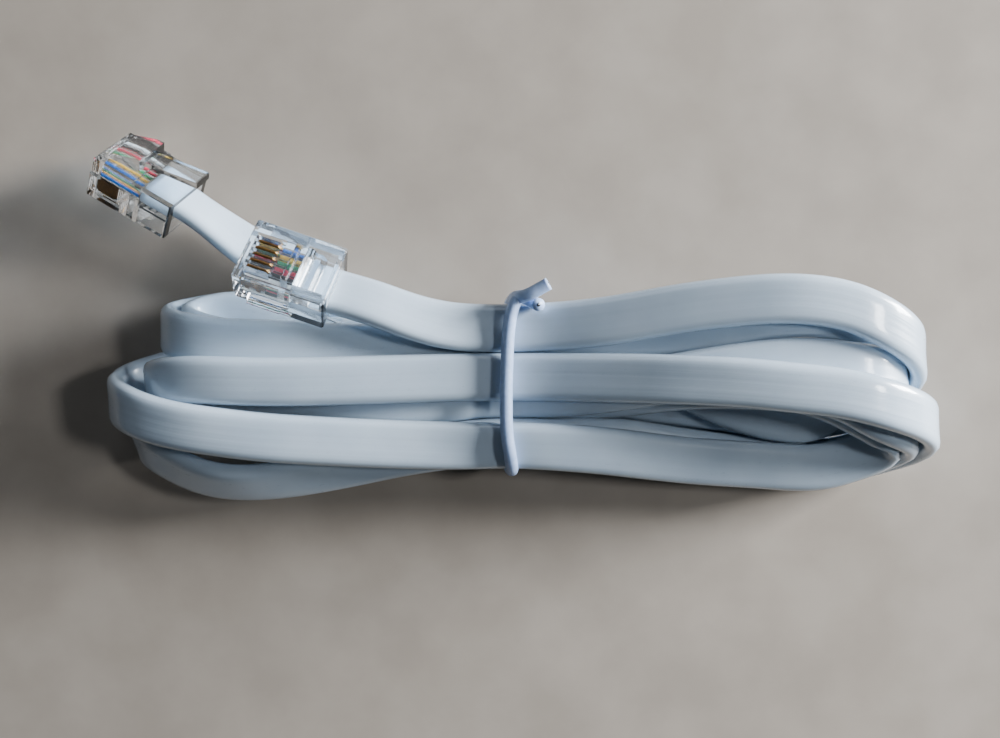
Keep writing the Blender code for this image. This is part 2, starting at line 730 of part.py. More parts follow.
# ---- tie -----------------------------------------------------------------------------
def tie_route():
    """The tie's centre line: one tail, its twist, the loop, the twist again, other tail."""
    waist = Row(value * MM for value in HANK_STATIONS[HANK_WAIST])
    stand_off = TIE_CLEARANCE + TIE_DIAMETER / 2
    low_y = waist[3] - stand_off
    high_y = waist[4] + stand_off
    floor = waist[1] - stand_off
    roof = waist[2] + stand_off
    loop = []
    corners = (
        (low_y + TIE_CORNER, roof - TIE_CORNER),
        (low_y + TIE_CORNER, floor + TIE_CORNER),
        (high_y - TIE_CORNER, floor + TIE_CORNER),
    )
    for number, (y, z) in enumerate(corners):
        for step in range(TIE_CORNER_STEPS + 1):
            angle = QUARTER_TURN * (1 + number + step / TIE_CORNER_STEPS)
            spoke = Vector((0.0, math.cos(angle), math.sin(angle)))
            loop.append(Vector((waist[0], y, z)) + spoke * TIE_CORNER)
    side = TIE_TWIST_AIM.cross(Vector((0.0, 0.0, 1.0))).normalized()
    up = side.cross(TIE_TWIST_AIM)

    def strand(phase, tail, rise):
        """One strand of the twist, outward from the loop, and its free tail."""
        places = []
        for step in range(TIE_TWIST_STEPS + 1):
            share = step / TIE_TWIST_STEPS
            angle = phase + 4 * QUARTER_TURN * TIE_TWIST_TURNS * share
            spoke = side * math.cos(angle) + up * math.sin(angle)
            places.append(TIE_KNOT + TIE_TWIST_AIM * (TIE_TWIST_LENGTH * share) + spoke * TIE_TWIST_RADIUS)
        places.append(places[-1] + TIE_TWIST_AIM * tail + up * rise)
        return places

    long_end = strand(TIE_TWIST_START, TIE_LONG_TAIL, TIE_LONG_TAIL_RISE)
    short_end = strand(TIE_TWIST_START + 2 * QUARTER_TURN, TIE_SHORT_TAIL, TIE_SHORT_TAIL_RISE)
    return smooth_route([*reversed(short_end), *loop, *long_end], TIE_ROUTE_STEPS)


def wire_tie():
    """The tie: a plastic sleeve with a bore, and the steel wire in it."""
    route = tie_route()
    sleeve = welded(wire_curve("tie_sleeve", route, TIE_DIAMETER / 2, False))
    wall = sleeve.modifiers.new("wall", "SOLIDIFY")
    wall.thickness = (TIE_DIAMETER - TIE_CORE_DIAMETER) / 2 - TIE_BORE_GAP
    wall.offset = -1.0
    place(sleeve, "tie_pvc")
    place(wire_curve("tie_core", route, TIE_CORE_DIAMETER / 2, True), "tie_steel")


def main():
    """Build the whole part."""
    clear_scene()
    plug_a = plug("plug_a", PLUG_A_PLACE, PLUG_A_HEADING, PLUG_A_ROLL)
    plug_b = plug("plug_b", PLUG_B_PLACE, PLUG_B_HEADING, PLUG_B_ROLL)
    hank = cable_hank()
    section = stadium("cord_section", CORD_WIDTH, CORD_THICKNESS, CORD_EDGE_STEPS)
    wide = stadium(
        "channel_section",
        CORD_WIDTH + 2 * LEAD_CLEARANCE,
        CORD_THICKNESS + 2 * LEAD_CLEARANCE,
        CORD_EDGE_STEPS,
    )
    lead("lead_a", lead_places(plug_a, PLUG_A_ROLL, LEAD_A_ROUTE), hank, section, wide)
    lead("lead_b", lead_places(plug_b, PLUG_B_ROLL, LEAD_B_ROUTE), hank, section, wide)
    wire_tie()


main()
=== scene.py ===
"""The looks of a flat six-core telephone line cord, wound into a hank and held by a wire tie.

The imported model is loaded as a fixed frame. The two clear plugs keep its pieces and get their
finishes. The cord is one length, from the jacket in one plug through every turn of the hank to
the other plug, and the tie is made again with a rounder sheath. Units are metres, +Z is up.
"""
import logging
import math
from collections.abc import Iterable, Iterator
from dataclasses import dataclass
from enum import Enum

import bmesh
import bpy
import numpy as np
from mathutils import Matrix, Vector


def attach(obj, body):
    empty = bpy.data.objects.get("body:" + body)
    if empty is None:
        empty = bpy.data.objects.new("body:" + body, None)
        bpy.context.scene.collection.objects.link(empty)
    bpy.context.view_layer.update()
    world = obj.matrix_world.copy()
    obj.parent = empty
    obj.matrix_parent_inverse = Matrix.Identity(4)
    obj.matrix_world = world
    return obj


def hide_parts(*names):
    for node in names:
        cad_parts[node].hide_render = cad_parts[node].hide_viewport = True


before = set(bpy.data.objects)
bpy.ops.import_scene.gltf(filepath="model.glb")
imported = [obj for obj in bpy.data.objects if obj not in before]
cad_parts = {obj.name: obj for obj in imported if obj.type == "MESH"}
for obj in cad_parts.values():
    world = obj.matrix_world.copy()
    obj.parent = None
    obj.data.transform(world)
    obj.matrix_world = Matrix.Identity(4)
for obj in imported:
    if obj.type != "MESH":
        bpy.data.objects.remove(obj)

MM = 0.001
SPAN_SAMPLES = 24  # places worked out between two rows of a curve
LEAST_SUM = 1e-9  # keeps two opposite directions from adding up to nought
LEAST_GAP = 1e-6  # metres, keeps a gap from being divided by nought
NORTH = np.array((0.0, 1.0, 0.0))

logging.basicConfig(level=logging.INFO, format="%(name)s: %(message)s")
LOG = logging.getLogger("line_cord")

Socket = bpy.types.NodeSocket
Node = bpy.types.Node
Tree = bpy.types.NodeTree
Material = bpy.types.Material
Obj = bpy.types.Object
Row = tuple[float, ...]
Pairs = tuple[np.ndarray, np.ndarray]


# ---- colour and nodes ----------------------------------------------------------------------
def linear(code: str) -> tuple[float, float, float, float]:
    """Turn an sRGB hex code to the linear colour that a shader takes.

    Args:
        code: six hex digits, with or without a leading hash.

    Returns:
        Red, green, blue and an alpha of one.
    """
    digits = code.lstrip("#")
    channels = []
    for start in (0, 2, 4):
        value = int(digits[start:start + 2], 16) / 255
        channels.append(value / 12.92 if value <= 0.04045 else ((value + 0.055) / 1.055) ** 2.4)
    return (*channels, 1.0)


def fill(tree: Tree, node: Node, inputs: dict) -> None:
    """Set or link a node's inputs.

    Args:
        tree: the node tree.
        node: the node whose inputs they are.
        inputs: by input name or number, a value, a socket, or a node for its first output.
    """
    for name, given in inputs.items():
        source = given.outputs[0] if isinstance(given, Node) else given
        if isinstance(source, Socket):
            tree.links.new(source, node.inputs[name])
        else:
            node.inputs[name].default_value = source


def add_node(
    tree: Tree,
    kind: str,
    inputs: dict | None = None,
    stops: tuple[tuple[float, str], ...] = (),
    **settings: object,
) -> Node:
    """Add one node, set its properties and fill its inputs.

    Args:
        tree: the node tree that it joins.
        kind: the node's type name.
        inputs: what goes into its inputs, as fill takes it.
        stops: the place and the hex colour of each stop, on a colour ramp.
        settings: the node's own properties.

    Returns:
        The new node.
    """
    node = tree.nodes.new(kind)
    for name, value in settings.items():
        setattr(node, name, value)
    for number, (place, code) in enumerate(stops):
        node.color_ramp.elements[number].position = place
        node.color_ramp.elements[number].color = linear(code)
    fill(tree, node, inputs or {})
    return node


def blank(name: str) -> tuple[Material, Tree, Node, Socket]:
    """A material that holds a Principled shader, its output and object coordinates alone.

    Args:
        name: the material's name.

    Returns:
        The material, its tree, its shader, and the place on the object, in metres.
    """
    material = bpy.data.materials.new(name)
    material.use_nodes = True
    tree = material.node_tree
    place = add_node(tree, "ShaderNodeTexCoord").outputs["Object"]
    return material, tree, tree.nodes["Principled BSDF"], place


# ---- finishes ------------------------------------------------------------------------------
@dataclass(frozen=True)
class ExtrudedPvcJacket:
    """Flexible PVC drawn through a flat die: satin white, a little blue, fine lines along it."""

    light: str = "#C1D3E3"
    dark: str = "#B3C6D8"
    refraction: float = 1.53
    smoothest: float = 0.25
    roughest: float = 0.39
    skin_gloss: float = 0.9
    skin_roughness: float = 0.11
    translucency: float = 0.12
    translucent_depth: float = 0.8 * MM
    translucent_tint: Row = (1.0, 0.95, 0.9)
    die_line_width: float = 0.35 * MM
    die_line_length: float = 60 * MM
    mottle: float = 9 * MM
    pore: float = 0.5 * MM
    core_rib: float = 1.02 * MM
    core_rib_share: float = 0.16
    relief: float = 0.03 * MM

    def make(self) -> Material:
        """Build the jacket's material on the cord's own coordinates, across and along.

        Returns:
            The material.
        """
        material, tree, shader, place = blank("extruded_pvc_jacket")
        skin = add_node(tree, "ShaderNodeUVMap", uv_map="across_along")
        # Lines left by the die run the whole length, so the gloss breaks up along the cord. Real
        # ones are too fine to show, so they are drawn as coarse as they need to be.
        per_metre = (1 / self.die_line_width, 1 / self.die_line_length, 1.0)
        drawn = add_node(tree, "ShaderNodeMapping", {"Vector": skin, "Scale": per_metre})
        lines = add_node(tree, "ShaderNodeTexNoise", {"Vector": drawn, "Scale": 1.0, "Detail": 3.0})
        # The six conductors push up faint ribs, which the low light picks out along the cord.
        across = add_node(tree, "ShaderNodeSeparateXYZ", {0: skin})
        rib_turns = {0: across, 1: 2 * math.pi / self.core_rib}
        angle = add_node(tree, "ShaderNodeMath", rib_turns, operation="MULTIPLY")
        ribs = add_node(tree, "ShaderNodeMath", {0: angle}, operation="COSINE")
        raised = {0: ribs, 1: self.core_rib_share, 2: lines}
        height = add_node(tree, "ShaderNodeMath", raised, operation="MULTIPLY_ADD")
        # Its filler clouds the white in soft patches, and fine pores dull the gloss between lines.
        # Lines and pores add up to between about 0.6 and 1.4.
        patches = {"Vector": place, "Scale": 1 / self.mottle, "Detail": 4.0}
        cloud = add_node(tree, "ShaderNodeTexNoise", patches)
        tone = add_node(tree, "ShaderNodeValToRGB", {0: cloud}, ((0.3, self.dark), (0.7, self.light)))
        fine = {"Vector": place, "Scale": 1 / self.pore, "Detail": 2.0}
        pores = add_node(tree, "ShaderNodeTexNoise", fine)
        dulled = add_node(tree, "ShaderNodeMath", {0: lines, 1: pores}, operation="ADD")
        gloss = {0: dulled, 1: 0.6, 2: 1.4, 3: self.smoothest, 4: self.roughest}
        fill(tree, shader, {
            "Base Color": tone,
            "Roughness": add_node(tree, "ShaderNodeMapRange", gloss),
            "IOR": self.refraction,
            "Subsurface Weight": self.translucency,
            "Subsurface Radius": self.translucent_tint,
            "Subsurface Scale": self.translucent_depth,
            "Coat Weight": self.skin_gloss,
            "Coat Roughness": self.skin_roughness,
            "Normal": add_node(
                tree, "ShaderNodeBump", {"Height": height, "Distance": self.relief, "Strength": 0.5}
            ),
        })
        return material


@dataclass(frozen=True)
class MouldedClearPolycarbonate:
    """Water-clear polycarbonate from a polished mould: glassy, with soft flow waves."""

    tint: str = "#F7FAFC"
    shade: str = "#CDD4DA"
    refraction: float = 1.585
    smoothest: float = 0.035
    roughest: float = 0.145
    wave: float = 1.6 * MM
    wave_depth: float = 0.06 * MM
    scuff: float = 0.25 * MM
    scuff_from: float = 0.45  # of the noise, where a scuff starts
    scuff_to: float = 0.75  # of the noise, where it is at its roughest

    def make(self) -> Material:
        """Build the plugs' material: it bends what lies behind it and glints on its edges.

        Returns:
            The material.
        """
        material, tree, shader, place = blank("moulded_clear_polycarbonate")
        # Handling leaves fine scuffs, so parts of a wall look a little milky.
        rubbed = {"Vector": place, "Scale": 1 / self.scuff, "Detail": 3.0}
        scuffs = add_node(tree, "ShaderNodeTexNoise", rubbed)
        milky = {0: scuffs, 1: self.scuff_from, 2: self.scuff_to, 3: self.smoothest, 4: self.roughest}
        # Cooling pulls the walls in slightly, which makes the highlights wander.
        pulled = {"Vector": place, "Scale": 1 / self.wave, "Detail": 1.0}
        waves = add_node(tree, "ShaderNodeTexNoise", pulled)
        fill(tree, shader, {
            "Base Color": linear(self.tint),
            "Transmission Weight": 1.0,
            "IOR": self.refraction,
            "Roughness": add_node(tree, "ShaderNodeMapRange", milky),
            "Normal": add_node(
                tree, "ShaderNodeBump", {"Height": waves, "Distance": self.wave_depth, "Strength": 0.35}
            ),
        })
        # Clear plastic casts hardly any shadow, so the jacket and wires inside it stay bright.
        lamp_ray = add_node(tree, "ShaderNodeLightPath").outputs["Is Shadow Ray"]
        passed = add_node(tree, "ShaderNodeBsdfTransparent", {"Color": linear(self.shade)})
        mixed = add_node(tree, "ShaderNodeMixShader", {0: lamp_ray, 1: shader, 2: passed})
        fill(tree, tree.nodes["Material Output"], {"Surface": mixed})
        return material


@dataclass(frozen=True)
class GoldFlashedBronze:
    """Stamped phosphor bronze under a thin gold flash: warm metal, browner in small specks."""

    light: str = "#C08E4E"
    dark: str = "#5E3E28"
    smoothest: float = 0.22
    roughest: float = 0.42
    press_mark: float = 0.12 * MM
    mark_depth: float = 0.01 * MM

    def make(self) -> Material:
        """Build the contacts' material.

        Returns:
            The material.
        """
        material, tree, shader, place = blank("gold_flashed_bronze")
        # The press leaves fine marks all over a blade, so its shine breaks up into specks.
        pressed = {"Vector": place, "Scale": 1 / self.press_mark, "Detail": 3.0}
        marks = add_node(tree, "ShaderNodeTexNoise", pressed)
        tone = add_node(tree, "ShaderNodeValToRGB", {0: marks}, ((0.3, self.dark), (0.62, self.light)))
        fill(tree, shader, {
            "Base Color": tone,
            "Metallic": 1.0,
            "Roughness": add_node(
                tree, "ShaderNodeMapRange", {0: marks, 3: self.smoothest, 4: self.roughest}
            ),
            "Normal": add_node(
                tree, "ShaderNodeBump", {"Height": marks, "Distance": self.mark_depth, "Strength": 0.4}
            ),
        })
        return material


class WireColour(Enum):
    """The insulation colours, light and dark, in the order in which the wires lie."""

    BLUE = ("#1F6FC4", "#12488C")
    YELLOW = ("#F0BE48", "#CF9420")
    GREEN = ("#2E9A66", "#1C7048")
    RED = ("#D8324E", "#AC1A34")
    BLACK = ("#2A2A2C", "#141416")
    WHITE = ("#F0F0EC", "#D9DAD6")


@dataclass(frozen=True)
class ExtrudedWireInsulation:
    """Polypropylene drawn thinly over a strand bundle: bright, glossy, faintly wavy."""

    colour: WireColour
    refraction: float = 1.49
    smoothest: float = 0.26
    roughest: float = 0.38
    wave: float = 0.4 * MM
    wave_depth: float = 0.02 * MM

    def make(self) -> Material:
        """Build one wire's material.

        Returns:
            The material.
        """
        material, tree, shader, place = blank(f"extruded_insulation_{self.colour.name.lower()}")
        light, dark = self.colour.value
        # The thin skin follows the strands under it, so its colour and gloss waver a little.
        wavy = {"Vector": place, "Scale": 1 / self.wave, "Detail": 2.0}
        waves = add_node(tree, "ShaderNodeTexNoise", wavy)
        fill(tree, shader, {
            "Base Color": add_node(tree, "ShaderNodeValToRGB", {0: waves}, ((0.3, dark), (0.65, light))),
            "Roughness": add_node(
                tree, "ShaderNodeMapRange", {0: waves, 3: self.smoothest, 4: self.roughest}
            ),
            "IOR": self.refraction,
            "Normal": add_node(
                tree, "ShaderNodeBump", {"Height": waves, "Distance": self.wave_depth, "Strength": 0.3}
            ),
        })
        return material


@dataclass(frozen=True)
class ExtrudedPvcTie:
    """Soft PVC extruded over wire: pale blue-white, satin, creased where it is bent."""

    light: str = "#B2CAF0"
    dark: str = "#A2BDE6"
    refraction: float = 1.53
    smoothest: float = 0.27
    roughest: float = 0.45
    translucency: float = 0.15
    translucent_depth: float = 0.5 * MM
    translucent_tint: Row = (0.8, 0.9, 1.0)
    crease: float = 0.7 * MM
    crease_depth: float = 0.04 * MM

    def make(self) -> Material:
        """Build the tie sheath's material.

        Returns:
            The material.
        """
        material, tree, shader, place = blank("extruded_pvc_tie")
        # Bending and twisting leave small creases, which break its soft highlight.
        bent = {"Vector": place, "Scale": 1 / self.crease, "Detail": 3.0}
        creases = add_node(tree, "ShaderNodeTexNoise", bent)
        tone = add_node(tree, "ShaderNodeValToRGB", {0: creases}, ((0.3, self.dark), (0.6, self.light)))
        fill(tree, shader, {
            "Base Color": tone,
            "Roughness": add_node(
                tree, "ShaderNodeMapRange", {0: creases, 3: self.smoothest, 4: self.roughest}
            ),
            "IOR": self.refraction,
            "Subsurface Weight": self.translucency,
            "Subsurface Radius": self.translucent_tint,
            "Subsurface Scale": self.translucent_depth,
            "Normal": add_node(
                tree, "ShaderNodeBump", {"Height": creases, "Distance": self.crease_depth, "Strength": 0.4}
            ),
        })
        return material


@dataclass(frozen=True)
class DrawnSteelWire:
    """Soft steel wire from a drawing die, dulled: a dark dot at the tie's cut ends."""

    light: str = "#8A8C90"
    dark: str = "#3C3D40"
    smoothest: float = 0.42
    roughest: float = 0.57
    draw_mark: float = 0.06 * MM

    def make(self) -> Material:
        """Build the tie core's material.

        Returns:
            The material.
        """
        material, tree, shader, place = blank("drawn_steel_wire")
        # The die and the cutter leave fine marks, so the metal looks grey and never mirrors.
        scored = {"Vector": place, "Scale": 1 / self.draw_mark, "Detail": 2.0}
        marks = add_node(tree, "ShaderNodeTexNoise", scored)
        tone = add_node(tree, "ShaderNodeValToRGB", {0: marks}, ((0.35, self.dark), (0.65, self.light)))
        fill(tree, shader, {
            "Base Color": tone,
            "Metallic": 1.0,
            "Roughness": add_node(
                tree, "ShaderNodeMapRange", {0: marks, 3: self.smoothest, 4: self.roughest}
            ),
        })
        return material


@dataclass(frozen=True)
class MattCard:
    """Matt pale card under the object: warm grey, with the faint cloudiness of its pulp."""

    light: str = "#ABA297"
    dark: str = "#A0978C"
    roughness: float = 0.85
    pulp: float = 12 * MM

    def make(self) -> Material:
        """Build the floor's material.

        Returns:
            The material.
        """
        material, tree, shader, place = blank("matt_card")
        # Pulp settles in soft clouds, so the card isn't one flat grey.
        settled = {"Vector": place, "Scale": 1 / self.pulp, "Detail": 4.0}
        cloud = add_node(tree, "ShaderNodeTexNoise", settled)
        tone = add_node(tree, "ShaderNodeValToRGB", {0: cloud}, ((0.35, self.dark), (0.65, self.light)))
        fill(tree, shader, {"Base Color": tone, "Roughness": self.roughness})
        return material


# ---- shapes swept along a route ---------------------------------------------------------------
def rows_of(points: Iterable[Row]) -> np.ndarray:
    """Points as an array of rows of floats.

    Args:
        points: rows of numbers.

    Returns:
        The array.
    """
    return np.array([tuple(point) for point in points], float)


def through(rows: np.ndarray, spacing: float) -> np.ndarray:
    """A smooth curve through rows, cut into even steps of its first three columns.

    Args:
        rows: the rows to pass through, place first.
        spacing: the length of a step.

    Returns:
        The rows of the curve.
    """
    # One more row straight on past each end, and knots a root of each distance apart, so that the
    # curve neither loops nor swings wide between close rows.
    padded = np.vstack([2 * rows[0] - rows[1], rows, 2 * rows[-1] - rows[-2]])
    steps = np.linalg.norm(np.diff(padded[:, :3], axis=0), axis=1)
    knots = np.concatenate([[0.0], np.cumsum(np.sqrt(steps))])
    share = np.linspace(0.0, 1.0, SPAN_SAMPLES, endpoint=False)[:, None]
    pieces = []
    for index in range(1, len(padded) - 2):
        p0, p1, p2, p3 = padded[index - 1:index + 3]
        t0, t1, t2, t3 = knots[index - 1:index + 3]
        t = t1 + (t2 - t1) * share
        a = (p0 * (t1 - t) + p1 * (t - t0)) / (t1 - t0)
        b = (p1 * (t2 - t) + p2 * (t - t1)) / (t2 - t1)
        c = (p2 * (t3 - t) + p3 * (t - t2)) / (t3 - t2)
        d = (a * (t2 - t) + b * (t - t0)) / (t2 - t0)
        e = (b * (t3 - t) + c * (t - t1)) / (t3 - t1)
        pieces.append((d * (t2 - t) + e * (t - t1)) / (t2 - t1))
    pieces.append(rows[-1:])
    return evenly(np.vstack(pieces), spacing)


def evenly(rows: np.ndarray, spacing: float) -> np.ndarray:
    """The same rows at even steps of length.

    Args:
        rows: the rows, place first.
        spacing: the length of a step.

    Returns:
        The new rows.
    """
    length = np.concatenate([[0.0], np.cumsum(np.linalg.norm(np.diff(rows[:, :3], axis=0), axis=1))])
    count = max(2, round(length[-1] / spacing) + 1)
    at = np.linspace(0.0, length[-1], count)
    return np.column_stack([np.interp(at, length, rows[:, column]) for column in range(rows.shape[1])])


def unit(rows: np.ndarray) -> np.ndarray:
    """Rows scaled to length one."""
    return rows / np.linalg.norm(rows, axis=-1, keepdims=True)


def softened(rows: np.ndarray, rounds: int) -> np.ndarray:
    """Rows eased towards their neighbours, with both ends kept.

    Args:
        rows: the rows.
        rounds: how many times they are eased.

    Returns:
        The new rows.
    """
    rows = rows.copy()
    for _ in range(rounds):
        rows[1:-1] = (rows[:-2] + 2 * rows[1:-1] + rows[2:]) / 4
    return rows


def swept(name: str, places: np.ndarray, wide: np.ndarray, section: np.ndarray) -> Obj:
    """A solid swept along places, its section's first axis laid along a width direction.

    Args:
        name: the object's name.
        places: the centre line.
        wide: the width direction at each place.
        section: the closed section's corners, across and up.

    Returns:
        The new object, with coordinates across and along its surface.
    """
    tangent = unit(np.gradient(places, axis=0))
    wide = unit(wide - (wide * tangent).sum(1, keepdims=True) * tangent)
    up = np.cross(tangent, wide)
    length = np.concatenate([[0.0], np.cumsum(np.linalg.norm(np.diff(places, axis=0), axis=1))])
    mesh = bpy.data.meshes.new(name)
    bm = bmesh.new()
    sheet = bm.loops.layers.uv.new("across_along")
    rings = []
    for place, w, u in zip(places, wide, up):
        rings.append([bm.verts.new(place + w * a + u * b) for a, b in section])
    count = len(section)
    for row in range(len(rings) - 1):
        for index in range(count):
            after = (index + 1) % count
            face = bm.faces.new(
                (rings[row][index], rings[row][after], rings[row + 1][after], rings[row + 1][index])
            )
            marks = ((index, row), (after, row), (after, row + 1), (index, row + 1))
            for loop, (corner, at) in zip(face.loops, marks):
                loop[sheet].uv = (section[corner][0], length[at])
    bm.faces.new(list(reversed(rings[0])))
    bm.faces.new(rings[-1])
    bmesh.ops.recalc_face_normals(bm, faces=bm.faces)
    bm.to_mesh(mesh)
    bm.free()
    mesh.shade_smooth()
    piece = bpy.data.objects.new(name, mesh)
    bpy.context.scene.collection.objects.link(piece)
    return piece


# ---- the wound cord ------------------------------------------------------------------------
@dataclass(frozen=True)
class Slot:
    """A place that a strand takes under the tie, in millimetres, and its roll in degrees."""

    y: float
    z: float
    roll: float = 0.0


WAIST_X = -0.3  # millimetres, where the tie stands
BESIDE_TIE = 3.2  # millimetres from the waist, where each strand leaves its slot
END_SPANS = 6  # spans that carry a turn round its end

# Under the tie the strands lie four layers deep, with three side by side in each.
SLOTS = {
    "top_north": Slot(-2.6, 10.95),
    "top_middle": Slot(-9.5, 10.95),
    "top_south": Slot(-19.1, 10.7, 16.0),
    "third_north": Slot(-2.7, 8.45),
    "third_middle": Slot(-12.0, 8.45),
    "third_south": Slot(-18.7, 8.4, 12.0),
    "second_north": Slot(-5.8, 5.95),
    "second_middle": Slot(-12.3, 5.95),
    "second_south": Slot(-19.1, 5.95, 6.0),
    "low_north": Slot(-3.4, 3.45),
    "low_middle": Slot(-10.3, 3.45),
    "low_south": Slot(-17.2, 3.45),
}


@dataclass(frozen=True)
class Turn:
    """One turn at an end of the hank: over the top, round the end, and back underneath.

    Rows are X, Y, Z and an optional roll in degrees, in millimetres, from the tie outwards. Lean
    says how soon the end leaves the top row's line for the bottom's: later above one, sooner below.
    """

    over: str
    under: str
    end: float
    top: tuple[Row, ...]
    bottom: tuple[Row, ...]
    lean: float = 1.0

    def rows(self) -> list[Row]:
        """The turn's rows, from its slot on top to its slot below.

        Returns:
            The rows, each with its roll.
        """
        side = math.copysign(1.0, self.end)
        top = [(*row, 0.0)[:4] for row in self.top]
        bottom = [(*row, 0.0)[:4] for row in self.bottom]
        first, last = np.array(top[-1]), np.array(bottom[-1])
        reach = abs(self.end - (first[0] + last[0]) / 2)
        rows = [*self.held(self.over, side), *top]
        for number in range(1, END_SPANS):
            share = number / END_SPANS
            angle = math.pi * share
            mean = first + (last - first) * share
            swing = first + (last - first) * (1 - math.cos(angle)) / 2
            rows.append((
                mean[0] + side * reach * math.sin(angle),
                first[1] + (last[1] - first[1]) * share ** self.lean,
                swing[2],
                mean[3],
            ))
        return rows + list(reversed(bottom)) + list(reversed(self.held(self.under, side)))

    @staticmethod
    def held(slot: str, side: float) -> list[Row]:
        """The row of a slot's strand beside the tie, on one side of it."""
        place = SLOTS[slot]
        return [(WAIST_X + side * BESIDE_TIE, place.y, place.z, place.roll)]


